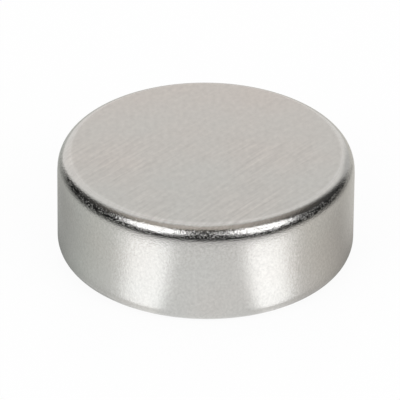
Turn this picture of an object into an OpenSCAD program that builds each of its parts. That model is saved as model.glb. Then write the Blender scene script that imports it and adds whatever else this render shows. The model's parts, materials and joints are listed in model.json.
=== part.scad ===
// Disc magnet: one sintered disc with ground pole faces, a ground rim and tumbled edges, plated all over.
// The lower pole face lies on z = 0 and the magnetic axis runs along +Z.

/* [Disc] */
// Outside diameter, over the plating
disc_diameter = 8; // [4:0.5:20]
// Thickness from pole face to pole face, over the plating
disc_thickness = 3; // [1.5:0.25:10]

/* [Edges] */
// Radius that tumbling leaves where each pole face meets the rim
edge_radius = 0.45; // [0.1:0.05:0.7]

/* [Hidden] */
$fn = 180;

// Radius of the ground rim
rim_radius = disc_diameter / 2;
// Radius out to which a pole face is flat
face_radius = rim_radius - edge_radius;
// Height of the straight wall between the two rounded edges
wall_height = disc_thickness - 2 * edge_radius;
// Colour of the bright nickel plating
plating_colour = "#c2beb9";

// Rounded edge in section: the round that both a pole face and the rim run into
module edge_round(centre_height) {
    translate([face_radius, centre_height])
        circle(r = edge_radius);
}

// Half of the disc's section, from the axis at x = 0 out to the rim
module half_section() {
    square([face_radius, disc_thickness]);
    translate([0, edge_radius])
        square([rim_radius, wall_height]);
    edge_round(edge_radius);
    edge_round(disc_thickness - edge_radius);
}

// The whole magnet, turned from its half section
module magnet() {
    color(plating_colour)
        rotate_extrude()
            half_section();
}

magnet();
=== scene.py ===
import json
import math

import bpy
from mathutils import Matrix, Vector


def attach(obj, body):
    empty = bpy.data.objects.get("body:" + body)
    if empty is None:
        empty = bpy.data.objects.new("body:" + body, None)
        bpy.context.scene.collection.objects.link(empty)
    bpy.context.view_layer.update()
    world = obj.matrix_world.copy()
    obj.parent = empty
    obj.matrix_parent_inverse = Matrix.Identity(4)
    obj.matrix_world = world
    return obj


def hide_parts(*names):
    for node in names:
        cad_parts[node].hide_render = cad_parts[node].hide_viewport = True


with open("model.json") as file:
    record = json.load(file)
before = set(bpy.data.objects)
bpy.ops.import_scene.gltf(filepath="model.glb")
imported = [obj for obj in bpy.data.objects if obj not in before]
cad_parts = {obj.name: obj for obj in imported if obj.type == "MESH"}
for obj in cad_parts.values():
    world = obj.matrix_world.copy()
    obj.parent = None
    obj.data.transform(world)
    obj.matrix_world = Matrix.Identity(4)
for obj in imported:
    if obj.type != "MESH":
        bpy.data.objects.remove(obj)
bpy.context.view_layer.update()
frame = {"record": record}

# Sizes of the magnet, in metres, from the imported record's own mounts
MM = 0.001
mounts = {mount["name"]: mount for mount in frame["record"]["mounts"]}
rim_radius = mounts["rim"]["dims"]["r_mm"] * MM
wall_height = mounts["rim"]["dims"]["length_mm"] * MM
thickness = mounts["upper_pole_face"]["pos_m"][2]
edge_radius = (thickness - wall_height) / 2
face_radius = rim_radius - edge_radius
middle = Vector((0, 0, thickness / 2))


def linear(hex_colour):
    """An sRGB hex colour as the linear colour that the shaders take."""
    parts = [int(hex_colour[i:i + 2], 16) / 255 for i in (1, 3, 5)]
    bent = [p / 12.92 if p <= 0.04045 else ((p + 0.055) / 1.055) ** 2.4 for p in parts]
    return (*bent, 1.0)


WHITE = linear("#ffffff")


def add(tree, kind, inputs=None, **settings):
    """Adds a shader node with its settings, and fills its inputs with values or links."""
    made = tree.nodes.new("ShaderNode" + kind)
    for name, value in settings.items():
        setattr(made, name, value)
    for key, value in (inputs or {}).items():
        if isinstance(value, bpy.types.Node):
            value = value.outputs[0]
        if isinstance(value, bpy.types.NodeSocket):
            tree.links.new(value, made.inputs[key])
        else:
            made.inputs[key].default_value = value
    return made


def new_material(name):
    """An empty material, with its node tree and its output node."""
    material = bpy.data.materials.new(name)
    material.use_nodes = True
    material.node_tree.nodes.clear()
    return material, material.node_tree, add(material.node_tree, "OutputMaterial")


# How finely the disc is divided
TURN_STEPS = 360
EDGE_STEPS = 18
WALL_RINGS = 42
FACE_RINGS = 9
ROUND_PROFILE = 0.5
WALL_FACE_CORNERS = 4

# Grinding and tumbling leave the wall drawn in a little where it runs into the upper rounded edge
LEAD_START = 0.15 * MM
LEAD_END = 0.15 * MM
LEAD_DEPTH = 0.016 * MM
RING_STEP = 0.001 * MM


def pick(obj, elements, wanted):
    """In edit mode, selects the vertices, edges or faces of obj that wanted() says."""
    modes = {"vertices": "VERT", "edges": "EDGE", "polygons": "FACE"}
    bpy.ops.mesh.select_mode(type=modes[elements])
    bpy.ops.mesh.select_all(action="DESELECT")
    bpy.ops.object.mode_set(mode="OBJECT")
    for element in getattr(obj.data, elements):
        element.select = wanted(element)
    bpy.ops.object.mode_set(mode="EDIT")


def draw_in_rings(disc):
    """In edit mode, draws the upper rings in towards the axis, easing from the wall to the rounded edge."""
    bpy.ops.object.mode_set(mode="OBJECT")
    rings = {}
    for point in disc.data.vertices:
        height = round((point.co.z - middle.z) / RING_STEP)
        rings[height] = point.co.xy.length
    bpy.ops.object.mode_set(mode="EDIT")
    for height, radius in sorted(rings.items()):
        past = (height * RING_STEP - wall_height / 2 + LEAD_START) / (LEAD_START + LEAD_END)
        if past > 0:
            share = min(past, 1)
            factor = 1 - LEAD_DEPTH * share * share * (3 - 2 * share) / radius
            pick(disc, "vertices", lambda point: round((point.co.z - middle.z) / RING_STEP) == height)
            bpy.ops.transform.resize(value=(factor, factor, 1), center_override=middle)


def model_disc():
    """The magnet: a turned disc with both edges tumbled round."""
    bpy.ops.object.select_all(action="DESELECT")
    bpy.ops.mesh.primitive_cylinder_add(
        vertices=TURN_STEPS, radius=rim_radius, depth=thickness, location=middle
    )
    disc = bpy.context.active_object
    disc.name = "disc"
    bpy.ops.object.transform_apply(location=True, rotation=True, scale=True)
    points = disc.data.vertices

    def is_rim_edge(edge):
        low, high = sorted(points[i].co.z for i in edge.vertices)
        return high - low < thickness / 2

    bpy.ops.object.mode_set(mode="EDIT")
    pick(disc, "edges", is_rim_edge)
    bpy.ops.mesh.bevel(offset=edge_radius, segments=EDGE_STEPS, profile=ROUND_PROFILE, affect="EDGES")
    for i in range(1, WALL_RINGS):
        height = edge_radius + wall_height * i / WALL_RINGS
        bpy.ops.mesh.select_all(action="SELECT")
        bpy.ops.mesh.bisect(plane_co=(0, 0, height), plane_no=(0, 0, 1))
    draw_in_rings(disc)
    pick(disc, "polygons", lambda face: len(face.vertices) > WALL_FACE_CORNERS)
    for i in range(FACE_RINGS):
        bpy.ops.mesh.inset(thickness=face_radius / (FACE_RINGS + 1))
    bpy.ops.mesh.poke()
    bpy.ops.object.mode_set(mode="OBJECT")
    bpy.ops.object.shade_smooth()
    return disc


# Nickel plating on pressed metal, lapped flat on the pole faces and tumbled on the edges: a pale grey
# satin that mirrors its surroundings softly, a little warmer on the flats, with faint parallel lapping
# marks there, an even grain on the wall and a bright orange peel that glitters where the edge is round
NICKEL_PALE = "#c9cac7"
NICKEL_WARM = "#ccc6c1"
FACE_ROUGHNESS = 0.56
WALL_ROUGHNESS = 0.22
EDGE_ROUGHNESS = 0.13

# Where the finishes of the edge set in: shares of its round, outwards from the flat or upwards from the
# wall. Beside the flat a share of the peel is left
BRIGHT_OUTWARD = (0.05, 0.4)
BRIGHT_UPWARD = (0.0, 0.4)
PITTED_OUTWARD = (0.62, 0.8)
PITTED_UPWARD = (0.2, 0.4)
PEELED_OUTWARD = (0.35, 0.7)
PEEL_BESIDE_FACE = 0.2

# Lapping marks, grain, peel and pits. The real ones are too fine to show in a picture of the whole
# magnet, so they are drawn as coarse as they need to be to show
LAPPING_SPACING = 0.1 * MM
LAPPING_LENGTH = 1.1 * MM
LAPPING_TURN = math.radians(-49)
LAPPING_WAVER = 0.4
GRAIN_SIZE = 0.06 * MM
GRAIN_SCALE = (1, 1, 0.8)
FACE_GRAIN_SIZE = 0.13 * MM
FACE_GRAIN_SCALE = (1, 0.7, 1)
FACE_GRAIN_BEFORE = (0.3, 0.7)
FACE_GRAIN_AFTER = (0.25, 0.75)
PEEL_SIZE = 0.035 * MM
WALL_PEEL = 0.005 * MM
EDGE_PEEL = 0.004 * MM
PIT_SPACING = 0.032 * MM
PIT_RADIUS = 0.016 * MM
PIT_DEPTH = 0.008 * MM
ROUGH_NOISE = 2.0
SMOOTH_NOISE = 0.0
NOISE_MIDDLE = 0.5

# Clouds in the plating, the cloud values between which the lapping marks set in, and how the marks wear out
# from the front of the flat to its back, at shares of its radius
CLOUD_SIZE = 2.5 * MM
LAPPED_CLOUDS = (0.25, 0.6)
WORN_PLACES = (-0.2, 0.7)
WORN_STRENGTHS = (1.0, 0.25)

# How much each of these changes the tone, the shade and the roughness. The flats' higher shade is painted
# light, which lightens them beside the edges and the wall
TONE_RANGE = (0.2, 1.1)
TONE_BACKWARD = 0.2
TONE_ON_FACE = 0.24
FACE_SHADE_WITH_PAINTED_LIGHT = 0.98
EDGE_SHADE = 0.91
SHADE_BACKWARD = 0.03
SHADE_OF_MARKS = 0.55
SHADE_OF_GRAIN = 0.18
ROUGHNESS_OF_MARKS = 0.2


def nickel_plating():
    """The finish of the whole magnet."""
    material, tree, output = new_material("nickel plating, lapped and tumbled")
    place = add(tree, "TexCoord").outputs["Object"]

    # Where a point lies on the round of the edge: outward is 0 on the flats, and upward is 0 on the wall
    xyz = add(tree, "SeparateXYZ", {0: place})
    flat = add(tree, "VectorMath", {0: place, 1: (1, 1, 0)}, operation="MULTIPLY")
    radius = add(tree, "VectorMath", {0: flat}, operation="LENGTH").outputs["Value"]
    above = add(tree, "Math", {0: xyz.outputs["Z"], 1: middle.z}, operation="SUBTRACT")
    height = add(tree, "Math", {0: above}, operation="ABSOLUTE")
    outward = add(tree, "MapRange", {"Value": radius, "From Min": face_radius, "From Max": rim_radius})
    upward = add(tree, "MapRange", {
        "Value": height,
        "From Min": wall_height / 2,
        "From Max": thickness / 2,
    })

    # The pitted, the bright tumbled and the lapped areas
    shoulder = add(tree, "MapRange", {
        "Value": outward,
        "From Min": PITTED_OUTWARD[0],
        "From Max": PITTED_OUTWARD[1],
    }, interpolation_type="SMOOTHSTEP")
    foot = add(tree, "MapRange", {
        "Value": upward,
        "From Min": PITTED_UPWARD[0],
        "From Max": PITTED_UPWARD[1],
    }, interpolation_type="SMOOTHSTEP")
    pitted = add(tree, "Math", {0: shoulder, 1: foot}, operation="MULTIPLY")
    top_bright = add(tree, "MapRange", {
        "Value": outward,
        "From Min": BRIGHT_OUTWARD[0],
        "From Max": BRIGHT_OUTWARD[1],
    }, interpolation_type="SMOOTHSTEP")
    low_bright = add(tree, "MapRange", {
        "Value": upward,
        "From Min": BRIGHT_UPWARD[0],
        "From Max": BRIGHT_UPWARD[1],
    }, interpolation_type="SMOOTHSTEP")
    tumbled = add(tree, "Math", {0: top_bright, 1: low_bright}, operation="MULTIPLY")
    lapped = add(tree, "MapRange", {"Value": outward, "To Min": 1.0, "To Max": 0.0},
                 interpolation_type="SMOOTHSTEP")

    # Lapping marks, fine lines all one way across the pole faces, stronger in some patches
    clouds = add(tree, "TexNoise", {"Vector": place, "Scale": 1 / CLOUD_SIZE, "Detail": ROUGH_NOISE})
    turned = add(tree, "Mapping", {"Vector": flat, "Rotation": (0, 0, LAPPING_TURN)})
    drawn = add(tree, "VectorMath", {0: turned, 1: (1 / LAPPING_LENGTH, 1 / LAPPING_SPACING, 0)},
                operation="MULTIPLY")
    lines = add(tree, "TexNoise", {
        "Vector": drawn,
        "Scale": 1.0,
        "Detail": ROUGH_NOISE,
        "Distortion": LAPPING_WAVER,
    })
    patches = add(tree, "MapRange", {
        "Value": clouds.outputs[0],
        "From Min": LAPPED_CLOUDS[0],
        "From Max": LAPPED_CLOUDS[1],
    })
    backward = add(tree, "Math", {0: xyz.outputs["Y"], 1: face_radius}, operation="DIVIDE")
    worn = add(tree, "MapRange", {
        "Value": backward,
        "From Min": WORN_PLACES[0],
        "From Max": WORN_PLACES[1],
        "To Min": WORN_STRENGTHS[0],
        "To Max": WORN_STRENGTHS[1],
    })
    patchy = add(tree, "Math", {0: patches, 1: worn}, operation="MULTIPLY")
    strength = add(tree, "Math", {0: patchy, 1: lapped}, operation="MULTIPLY")
    centred = add(tree, "Math", {0: lines.outputs[0], 1: NOISE_MIDDLE}, operation="SUBTRACT")
    marks = add(tree, "Math", {0: centred, 1: strength}, operation="MULTIPLY")

    # Grain of the plating, one on the wall and the edges and one on the flats
    upright = add(tree, "Mapping", {"Vector": place, "Scale": GRAIN_SCALE})
    grain = add(tree, "TexNoise", {"Vector": upright, "Scale": 1 / GRAIN_SIZE, "Detail": SMOOTH_NOISE})
    laid = add(tree, "Mapping", {"Vector": flat, "Scale": FACE_GRAIN_SCALE})
    face_grain = add(tree, "TexNoise", {"Vector": laid, "Scale": 1 / FACE_GRAIN_SIZE, "Detail": ROUGH_NOISE})
    face_speck = add(tree, "MapRange", {
        "Value": face_grain.outputs[0],
        "From Min": FACE_GRAIN_BEFORE[0],
        "From Max": FACE_GRAIN_BEFORE[1],
        "To Min": FACE_GRAIN_AFTER[0],
        "To Max": FACE_GRAIN_AFTER[1],
    }, clamp=False)
    speckle = add(tree, "Mix", {0: lapped, 2: grain.outputs[0], 3: face_speck}, data_type="FLOAT")

    # Relief: a soft peel all over, fading towards the flats, and small round pits in the edge
    peel_depth = add(tree, "MapRange", {"Value": foot, "To Min": WALL_PEEL, "To Max": EDGE_PEEL})
    levelled = add(tree, "MapRange", {
        "Value": outward,
        "From Min": PEELED_OUTWARD[0],
        "From Max": PEELED_OUTWARD[1],
        "To Min": PEEL_BESIDE_FACE,
    })
    depth = add(tree, "Math", {0: peel_depth, 1: levelled}, operation="MULTIPLY")
    peel = add(tree, "TexNoise", {"Vector": place, "Scale": 1 / PEEL_SIZE, "Detail": SMOOTH_NOISE})
    relief = add(tree, "Math", {0: peel.outputs[0], 1: depth}, operation="MULTIPLY")
    pits = add(tree, "TexVoronoi", {"Vector": place, "Scale": 1 / PIT_SPACING})
    lot = add(tree, "SeparateColor", {0: pits.outputs["Color"]})
    bowl = add(tree, "MapRange", {
        "Value": pits.outputs["Distance"],
        "From Max": PIT_RADIUS / PIT_SPACING,
        "To Min": -PIT_DEPTH,
        "To Max": 0.0,
    }, interpolation_type="SMOOTHSTEP")
    sunk = add(tree, "Math", {0: bowl, 1: lot.outputs[0]}, operation="MULTIPLY")
    peened = add(tree, "Math", {0: sunk, 1: pitted, 2: relief}, operation="MULTIPLY_ADD")
    bump = add(tree, "Bump", {"Strength": 1.0, "Distance": 1.0, "Height": peened})

    # Colour: the tone drifts between pale and warm, lighter and warmer towards the back of the flats, and
    # marks and grain shade it. The flats are also painted lighter than the edges and the wall
    drift = add(tree, "Math", {0: backward, 1: lapped}, operation="MULTIPLY")
    drifting = add(tree, "Math", {0: drift, 1: TONE_BACKWARD, 2: clouds.outputs[0]},
                   operation="MULTIPLY_ADD")
    warmed = add(tree, "Math", {0: lapped, 1: TONE_ON_FACE, 2: drifting}, operation="MULTIPLY_ADD")
    tone = add(tree, "MapRange", {"Value": warmed, "From Min": TONE_RANGE[0], "From Max": TONE_RANGE[1]})
    plating = add(tree, "Mix", {0: tone, 6: linear(NICKEL_PALE), 7: linear(NICKEL_WARM)}, data_type="RGBA")
    # Painted light: the flats get a higher level than the edges and the wall, which lightens them in place
    # of light
    painted_face_light = add(tree, "MapRange", {"Value": top_bright, "To Min": FACE_SHADE_WITH_PAINTED_LIGHT, "To Max": EDGE_SHADE})
    backward_drift_and_painted_light = add(tree, "Math", {0: drift, 1: SHADE_BACKWARD, 2: painted_face_light}, operation="MULTIPLY_ADD")
    lined = add(tree, "Math", {0: marks, 1: SHADE_OF_MARKS, 2: backward_drift_and_painted_light}, operation="MULTIPLY_ADD")
    shade = add(tree, "Math", {0: speckle, 1: SHADE_OF_GRAIN, 2: lined}, operation="MULTIPLY_ADD")
    marked = add(tree, "VectorMath", {0: plating.outputs[2], "Scale": shade}, operation="SCALE")

    # Finish: satin on the flats, finer on the wall and bright on the edges
    satin = add(tree, "MapRange", {"Value": lapped, "To Min": WALL_ROUGHNESS, "To Max": FACE_ROUGHNESS})
    bright = add(tree, "Mix", {0: tumbled, 2: satin, 3: EDGE_ROUGHNESS}, data_type="FLOAT")
    roughness = add(tree, "Math", {0: marks, 1: ROUGHNESS_OF_MARKS, 2: bright}, operation="MULTIPLY_ADD")
    metal = add(tree, "BsdfPrincipled", {
        "Base Color": marked,
        "Metallic": 1.0,
        "Roughness": roughness,
        "Normal": bump,
    })
    tree.links.new(metal.outputs[0], output.inputs["Surface"])
    return material


# White enamel on the table, polished: to the eye a plain white floor with a soft shadow. The metal instead
# sees a painted glow on it, bright in front, painted dim beside the magnet and half bright behind it, with
# both softboxes in its gloss
ENAMEL_WHITE = "#f4f4f4"
ENAMEL_ROUGHNESS = 0.3
WHITE_SHARE = 0.93

# A spot's bearing is -1 in front of the magnet and 1 behind it, and its side is -1 on the left and 1 on
# the right. One upright line of the wall mirrors spots that lie further back the further away they are, so
# bearings are turned to the front with the distance, and the wall looks even from foot to top
TURNED_AWAY = (3.7 * MM, 8.2 * MM)
MOST_TURNED = 0.5
FRONT = -1.0

# How bright the table's painted glow is where the metal mirrors it, from front to side and from side to
# back, in shares of white
FRONT_TO_SIDE = (-1.05, 0.12)
FRONT_TO_SIDE_LEVELS = (0.93, 0.365)
SIDE_TO_BACK = (-0.05, 0.9)
BACK_VEER = 0.3
SIDE_LEVEL = 0.42
BACK_SIDES = (-0.6, 0.6)
BACK_LEVELS = (0.6, 0.7)

# How far the painted brightness reaches, in front and at the side, and from where on it has no end behind
REACH_BEARINGS = (-0.95, -0.3)
REACHES = (9 * MM, 10.5 * MM)
ENDLESS_BEARINGS = (0.4, 0.75)

# The shade close to the foot of the wall, from none in front to the most at the side
FOOT_AWAY = (3.7 * MM, 4.8 * MM)
FOOT_BEARINGS = (-1.0, -0.7)
FOOT_LEVELS = (1.0, 0.55)

# A faint painted tint in the glow beside the magnet
TINT_LEFT = "#fdfffb"
TINT_RIGHT = "#fffcf6"
TINT_BEARINGS = (-0.85, -0.4)
TINT_SIDES = (-0.6, 0.6)

# The gloss that mirrors the softboxes into the wall, in two areas on both sides of the front
GLOSS_ROUGHNESS = 0.06
GLOSS_BEARINGS = (-0.78, -0.4)
GLOSS_SIDES = (-0.4, 0.4)
GLOSS_LEVELS = (0.305, 0.345)
GLOSS_BESIDE = 0.026
GLOSS_AWAY = (8.3 * MM, 10 * MM)
GLOSS_PARTING = (-0.96, -0.9)
GLOSS_VEER = -0.03


def table_top():
    """The finish of the table, with the painted glow that the metal mirrors."""
    material, tree, output = new_material("white enamel, polished")
    place = add(tree, "TexCoord").outputs["Object"]
    away = add(tree, "VectorMath", {0: place}, operation="LENGTH").outputs["Value"]
    spot = add(tree, "SeparateXYZ", {0: place})
    bearing = add(tree, "Math", {0: spot.outputs["Y"], 1: away}, operation="DIVIDE")
    side = add(tree, "Math", {0: spot.outputs["X"], 1: away}, operation="DIVIDE")

    # What the wall mirrors of the table near the magnet: a painted glow, with painted light and shade,
    # bright in front and dim beside and behind the magnet
    turning = add(tree, "MapRange", {
        "Value": away,
        "From Min": TURNED_AWAY[0],
        "From Max": TURNED_AWAY[1],
        "To Max": MOST_TURNED,
    })
    facing = add(tree, "Mix", {0: turning, 2: bearing, 3: FRONT}, data_type="FLOAT")
    front = add(tree, "MapRange", {
        "Value": facing,
        "From Min": FRONT_TO_SIDE[0],
        "From Max": FRONT_TO_SIDE[1],
        "To Min": FRONT_TO_SIDE_LEVELS[0],
        "To Max": FRONT_TO_SIDE_LEVELS[1],
    }, interpolation_type="SMOOTHSTEP")
    back_level = add(tree, "MapRange", {
        "Value": side,
        "From Min": BACK_SIDES[0],
        "From Max": BACK_SIDES[1],
        "To Min": BACK_LEVELS[0],
        "To Max": BACK_LEVELS[1],
    })
    veered = add(tree, "Math", {0: side, 1: BACK_VEER, 2: bearing}, operation="MULTIPLY_ADD")
    back = add(tree, "MapRange", {
        "Value": veered,
        "From Min": SIDE_TO_BACK[0],
        "From Max": SIDE_TO_BACK[1],
        "To Min": SIDE_LEVEL,
        "To Max": back_level,
    }, interpolation_type="SMOOTHSTEP")
    near = add(tree, "Math", {0: front, 1: back}, operation="MAXIMUM")

    # Its painted fall with distance, and the painted shade at the foot of the wall
    bright_reach = add(tree, "MapRange", {
        "Value": bearing,
        "From Min": REACH_BEARINGS[0],
        "From Max": REACH_BEARINGS[1],
        "To Min": REACHES[0],
        "To Max": REACHES[1],
    })
    fading = add(tree, "Math", {0: bright_reach, 1: away}, operation="DIVIDE", use_clamp=True)
    clear = add(tree, "MapRange", {
        "Value": bearing,
        "From Min": ENDLESS_BEARINGS[0],
        "From Max": ENDLESS_BEARINGS[1],
    })
    far = add(tree, "Math", {0: fading, 1: clear}, operation="MAXIMUM")
    spread = add(tree, "Math", {0: near, 1: far}, operation="MULTIPLY")
    lowest = add(tree, "MapRange", {
        "Value": bearing,
        "From Min": FOOT_BEARINGS[0],
        "From Max": FOOT_BEARINGS[1],
        "To Min": FOOT_LEVELS[0],
        "To Max": FOOT_LEVELS[1],
    })
    painted_foot_shade = add(tree, "MapRange", {
        "Value": away,
        "From Min": FOOT_AWAY[0],
        "From Max": FOOT_AWAY[1],
        "To Min": lowest,
    })
    level = add(tree, "Math", {0: spread, 1: painted_foot_shade}, operation="MULTIPLY")

    # Its painted tint, plain white in front
    beside = add(tree, "MapRange", {
        "Value": bearing,
        "From Min": TINT_BEARINGS[0],
        "From Max": TINT_BEARINGS[1],
    })
    rightward = add(tree, "MapRange", {
        "Value": side,
        "From Min": TINT_SIDES[0],
        "From Max": TINT_SIDES[1],
    })
    cast = add(tree, "Mix", {0: rightward, 6: linear(TINT_LEFT), 7: linear(TINT_RIGHT)}, data_type="RGBA")
    tint = add(tree, "Mix", {0: beside, 6: WHITE, 7: cast.outputs[2]}, data_type="RGBA")
    # The painted glow: the table shines by itself for the metal, with painted light and shade, in place of
    # being lit
    painted_glow = add(tree, "Emission", {"Color": tint.outputs[2], "Strength": level})

    # The softboxes in its gloss
    gloss_level = add(tree, "MapRange", {
        "Value": side,
        "From Min": GLOSS_SIDES[0],
        "From Max": GLOSS_SIDES[1],
        "To Min": GLOSS_LEVELS[0],
        "To Max": GLOSS_LEVELS[1],
    })
    polish = add(tree, "MapRange", {
        "Value": bearing,
        "From Min": GLOSS_BEARINGS[0],
        "From Max": GLOSS_BEARINGS[1],
        "To Min": gloss_level,
        "To Max": GLOSS_BESIDE,
    })
    reach = add(tree, "MapRange", {
        "Value": away,
        "From Min": GLOSS_AWAY[0],
        "From Max": GLOSS_AWAY[1],
        "To Min": 1.0,
        "To Max": 0.0,
    })
    off_middle = add(tree, "Math", {0: side, 1: GLOSS_VEER, 2: bearing}, operation="MULTIPLY_ADD")
    sides = add(tree, "MapRange", {
        "Value": off_middle,
        "From Min": GLOSS_PARTING[0],
        "From Max": GLOSS_PARTING[1],
    }, interpolation_type="SMOOTHSTEP")
    polished = add(tree, "Math", {0: polish, 1: reach}, operation="MULTIPLY")
    sheen = add(tree, "Math", {0: polished, 1: sides}, operation="MULTIPLY")
    gloss = add(tree, "BsdfGlossy", {"Color": sheen, "Roughness": GLOSS_ROUGHNESS})
    mirrored = add(tree, "AddShader", {0: painted_glow, 1: gloss})

    # What the camera sees: enamel that takes the shadow, made nearly white
    enamel = add(tree, "BsdfPrincipled", {"Base Color": linear(ENAMEL_WHITE), "Roughness": ENAMEL_ROUGHNESS})
    white = add(tree, "Emission", {"Color": WHITE, "Strength": 1.0})
    rays = add(tree, "LightPath")
    share = add(tree, "Math", {0: rays.outputs["Is Camera Ray"], 1: WHITE_SHARE}, operation="MULTIPLY")
    plain = add(tree, "MixShader", {0: share, 1: enamel, 2: white})
    surface = add(tree, "MixShader", {0: rays.outputs["Is Glossy Ray"], 1: plain, 2: mirrored})
    tree.links.new(surface.outputs[0], output.inputs["Surface"])
    return material


# The table, in metres, with its top just under the magnet
TABLE_SIZE = 1.2
TABLE_DROP = 0.001 * MM


def lay_table():
    """The table that the magnet lies on."""
    bpy.ops.object.select_all(action="DESELECT")
    bpy.ops.mesh.primitive_plane_add(size=TABLE_SIZE, location=(0, 0, -TABLE_DROP))
    table = bpy.context.active_object
    table.name = "table"
    table.data.materials.append(table_top())


# The room by directions of length 1: x to the right, y to the back and z up. Levels are shares of white
FILL_LEVEL = 0.75
DARK_HEIGHTS = (0.2, 0.6)
DARK_LEVELS = (0.012, 0.09)

# The backdrop, a wedge behind the magnet with soft borders, of which the left one slants
BACKDROP_TINT = "#fffefd"
BACKDROP_NARROWING = -0.85
BACKDROP_RISE = 0.15
BACKDROP_SHIFT = -0.1
SLANT_SIDES = (-1.0, 0.0)
SLANT_MOST = 0.87
SLANT_HEIGHT = 0.475
BORDER_HEIGHTS = (0.2, 0.6)
BORDER_WIDTHS = (0.14, 0.3)
GLOW_HEIGHTS = (0.55, 0.7)
GLOW_LEVELS = (0.97, 0.99)

# The backdrop's low right corner, which is dimmer
CORNER_SIDES = (0.33, 0.5)
CORNER_HEIGHTS = (0.36, 0.52)
CORNER_DIMMING = 0.32

# The card overhead, narrower towards the front and dimmer away from its left middle
CARD_TINT = "#fff7ef"
CARD_FORWARD = 1.1
CARD_NARROWING = -0.42
CARD_SHIFT = -0.06
CARD_BORDER = (0.2, 0.7)
CARD_LEAN = 0.25
CARD_SIDES = (0.1, 0.6)
CARD_LEVELS = (0.67, 0.4)


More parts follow.
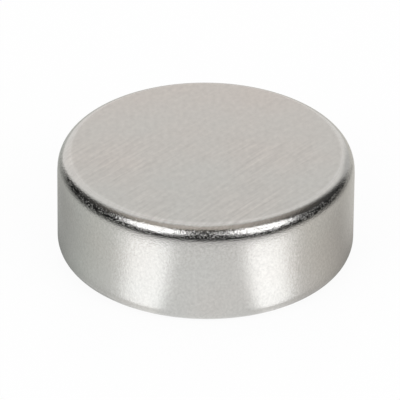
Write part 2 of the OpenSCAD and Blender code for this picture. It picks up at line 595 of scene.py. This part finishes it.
def light_room():
    """The room as the metal mirrors it: a backdrop behind, a dimmer card overhead and the dark in front."""
    world = bpy.data.worlds.new("studio")
    bpy.context.scene.world = world
    world.use_nodes = True
    # With no light sampling, each ray that meets the world still has its kind, glossy or not
    world.cycles.sampling_method = "NONE"
    tree = world.node_tree
    tree.nodes.clear()
    way = add(tree, "SeparateXYZ", {0: add(tree, "TexCoord").outputs["Generated"]})
    x = way.outputs["X"]
    y = way.outputs["Y"]
    z = way.outputs["Z"]
    aside = add(tree, "Math", {0: x}, operation="ABSOLUTE")
    dark = add(tree, "MapRange", {
        "Value": z,
        "From Min": DARK_HEIGHTS[0],
        "From Max": DARK_HEIGHTS[1],
        "To Min": DARK_LEVELS[0],
        "To Max": DARK_LEVELS[1],
    })

    # The backdrop and its soft borders
    lean = add(tree, "Math", {0: z, 1: BACKDROP_RISE, 2: y}, operation="MULTIPLY_ADD")
    inward = add(tree, "Math", {0: aside, 1: BACKDROP_NARROWING, 2: lean}, operation="MULTIPLY_ADD")
    behind = add(tree, "Math", {0: x, 1: BACKDROP_SHIFT, 2: inward}, operation="MULTIPLY_ADD")
    leftward = add(tree, "MapRange", {
        "Value": x,
        "From Min": SLANT_SIDES[0],
        "From Max": SLANT_SIDES[1],
        "To Min": SLANT_MOST,
        "To Max": 0.0,
    })
    higher = add(tree, "Math", {0: z, 1: SLANT_HEIGHT}, operation="SUBTRACT")
    slanted = add(tree, "Math", {0: leftward, 1: higher, 2: behind}, operation="MULTIPLY_ADD")
    softness = add(tree, "MapRange", {
        "Value": z,
        "From Min": BORDER_HEIGHTS[0],
        "From Max": BORDER_HEIGHTS[1],
        "To Min": BORDER_WIDTHS[0],
        "To Max": BORDER_WIDTHS[1],
    })
    within = add(tree, "Math", {0: slanted, 1: softness}, operation="DIVIDE")
    backdrop = add(tree, "MapRange", {"Value": within, "From Min": -1.0, "From Max": 1.0},
                   interpolation_type="SMOOTHSTEP")

    # Its brightness
    glow = add(tree, "MapRange", {
        "Value": z,
        "From Min": GLOW_HEIGHTS[0],
        "From Max": GLOW_HEIGHTS[1],
        "To Min": GLOW_LEVELS[0],
        "To Max": GLOW_LEVELS[1],
    })
    rightness = add(tree, "MapRange", {
        "Value": x,
        "From Min": CORNER_SIDES[0],
        "From Max": CORNER_SIDES[1],
    })
    lowness = add(tree, "MapRange", {
        "Value": z,
        "From Min": CORNER_HEIGHTS[0],
        "From Max": CORNER_HEIGHTS[1],
        "To Min": CORNER_DIMMING,
        "To Max": 0.0,
    })
    corner = add(tree, "Math", {0: rightness, 1: lowness}, operation="MULTIPLY")
    dimmed = add(tree, "Math", {0: glow, 1: corner}, operation="SUBTRACT")
    back_level = add(tree, "Math", {0: backdrop, 1: dimmed}, operation="MULTIPLY")

    # The card overhead
    wedge = add(tree, "Math", {0: y, 1: aside}, operation="ADD")
    forward = add(tree, "Math", {0: wedge, 1: 0.0}, operation="MINIMUM")
    nearer = add(tree, "Math", {0: forward, 1: CARD_FORWARD, 2: z}, operation="MULTIPLY_ADD")
    narrow = add(tree, "Math", {0: aside, 1: CARD_NARROWING, 2: nearer}, operation="MULTIPLY_ADD")
    over = add(tree, "Math", {0: x, 1: CARD_SHIFT, 2: narrow}, operation="MULTIPLY_ADD")
    off_left = add(tree, "Math", {0: x, 1: CARD_LEAN, 2: aside}, operation="MULTIPLY_ADD")
    card_level = add(tree, "MapRange", {
        "Value": off_left,
        "From Min": CARD_SIDES[0],
        "From Max": CARD_SIDES[1],
        "To Min": CARD_LEVELS[0],
        "To Max": CARD_LEVELS[1],
    })
    card = add(tree, "MapRange", {
        "Value": over,
        "From Min": CARD_BORDER[0],
        "From Max": CARD_BORDER[1],
        "To Max": card_level,
    }, interpolation_type="SMOOTHSTEP")

    # The metal mirrors the room, the table takes a plain fill, and the camera sees white
    dark_or_back = add(tree, "Math", {0: dark, 1: back_level}, operation="MAXIMUM")
    level = add(tree, "Math", {0: dark_or_back, 1: card}, operation="MAXIMUM")
    warmth = add(tree, "Math", {0: card, 1: back_level}, operation="GREATER_THAN")
    tint = add(tree, "Mix", {0: warmth, 6: linear(BACKDROP_TINT), 7: linear(CARD_TINT)}, data_type="RGBA")
    room = add(tree, "Background", {"Color": tint.outputs[2], "Strength": level})
    fill = add(tree, "Background", {"Color": WHITE, "Strength": FILL_LEVEL})
    white = add(tree, "Background", {"Color": WHITE, "Strength": 1.0})
    rays = add(tree, "LightPath")
    lit = add(tree, "MixShader", {0: rays.outputs["Is Glossy Ray"], 1: fill, 2: room})
    mixed = add(tree, "MixShader", {0: rays.outputs["Is Camera Ray"], 1: lit, 2: white})
    add(tree, "OutputWorld", {"Surface": mixed})


# The softboxes: their distance in metres, and how bright they are beside white
LAMP_DISTANCE = 0.4
LAMP_RADIANCE = 2.4
LAMP_TINT = "#fbfcff"


def hang_softbox(name, azimuth, elevation, wide, tall):
    """An oval softbox that faces the magnet. Angles are in degrees, and azimuth 0 is the camera's side."""
    turn = math.radians(azimuth)
    rise = math.radians(elevation)
    way = Vector((math.sin(turn) * math.cos(rise), -math.cos(turn) * math.cos(rise), math.sin(rise)))
    bpy.ops.object.light_add(type="AREA", location=middle + way * LAMP_DISTANCE)
    lamp = bpy.context.active_object
    lamp.name = name
    lamp.rotation_euler = way.to_track_quat("Z", "Y").to_euler()
    lamp.data.shape = "ELLIPSE"
    lamp.data.size = 2 * LAMP_DISTANCE * math.tan(math.radians(wide / 2))
    lamp.data.size_y = 2 * LAMP_DISTANCE * math.tan(math.radians(tall / 2))
    lamp_area = lamp.data.size * lamp.data.size_y * math.pi / 4
    lamp.data.energy = LAMP_RADIANCE * math.pi * lamp_area
    lamp.data.color = linear(LAMP_TINT)[:3]
    lamp.visible_camera = False


# The camera, as the photograph's outline gives it: pixels of a 400 by 400 picture
FRAME_PIXELS = 400
CENTRE_PIXEL = (200, 200)
MIDDLE_PIXEL = (205.75, 198.95)
PIXELS_PER_DIAMETER = 296.6
SENSOR_MM = 36
VIEW_ELEVATION = math.radians(31.35)
VIEW_ROLL = math.radians(0.52)
VIEW_DISTANCE = 165 * MM
NEAREST_SEEN = VIEW_DISTANCE / 10
FARTHEST_SEEN = VIEW_DISTANCE * 20


def place_camera():
    """The camera, set up as the photograph's was."""
    back = Vector((0, -math.cos(VIEW_ELEVATION), math.sin(VIEW_ELEVATION)))
    level_up = Vector((0, math.sin(VIEW_ELEVATION), math.cos(VIEW_ELEVATION)))
    level_right = Vector((1, 0, 0))
    right = level_right * math.cos(VIEW_ROLL) + level_up * math.sin(VIEW_ROLL)
    up = level_up * math.cos(VIEW_ROLL) - level_right * math.sin(VIEW_ROLL)
    pixel = 2 * rim_radius / PIXELS_PER_DIAMETER
    across = (CENTRE_PIXEL[0] - MIDDLE_PIXEL[0]) * pixel
    upward = (MIDDLE_PIXEL[1] - CENTRE_PIXEL[1]) * pixel
    bpy.ops.object.camera_add()
    camera = bpy.context.active_object
    place = middle + back * VIEW_DISTANCE + right * across + up * upward
    camera.matrix_world = Matrix.Translation(place) @ Matrix((right, up, back)).transposed().to_4x4()
    camera.data.sensor_width = SENSOR_MM
    camera.data.lens = SENSOR_MM * VIEW_DISTANCE / (FRAME_PIXELS * pixel)
    camera.data.clip_start = NEAREST_SEEN
    camera.data.clip_end = FARTHEST_SEEN
    bpy.context.scene.camera = camera


disc = model_disc()
disc.data.materials.append(nickel_plating())
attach(disc, "root")
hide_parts("magnet")

lay_table()
light_room()
hang_softbox("softbox_left", azimuth=-41.3, elevation=33.2, wide=45, tall=33.5)
hang_softbox("softbox_right", azimuth=45.7, elevation=32.8, wide=45, tall=36.5)
place_camera()

bpy.context.scene.view_settings.view_transform = "Standard"
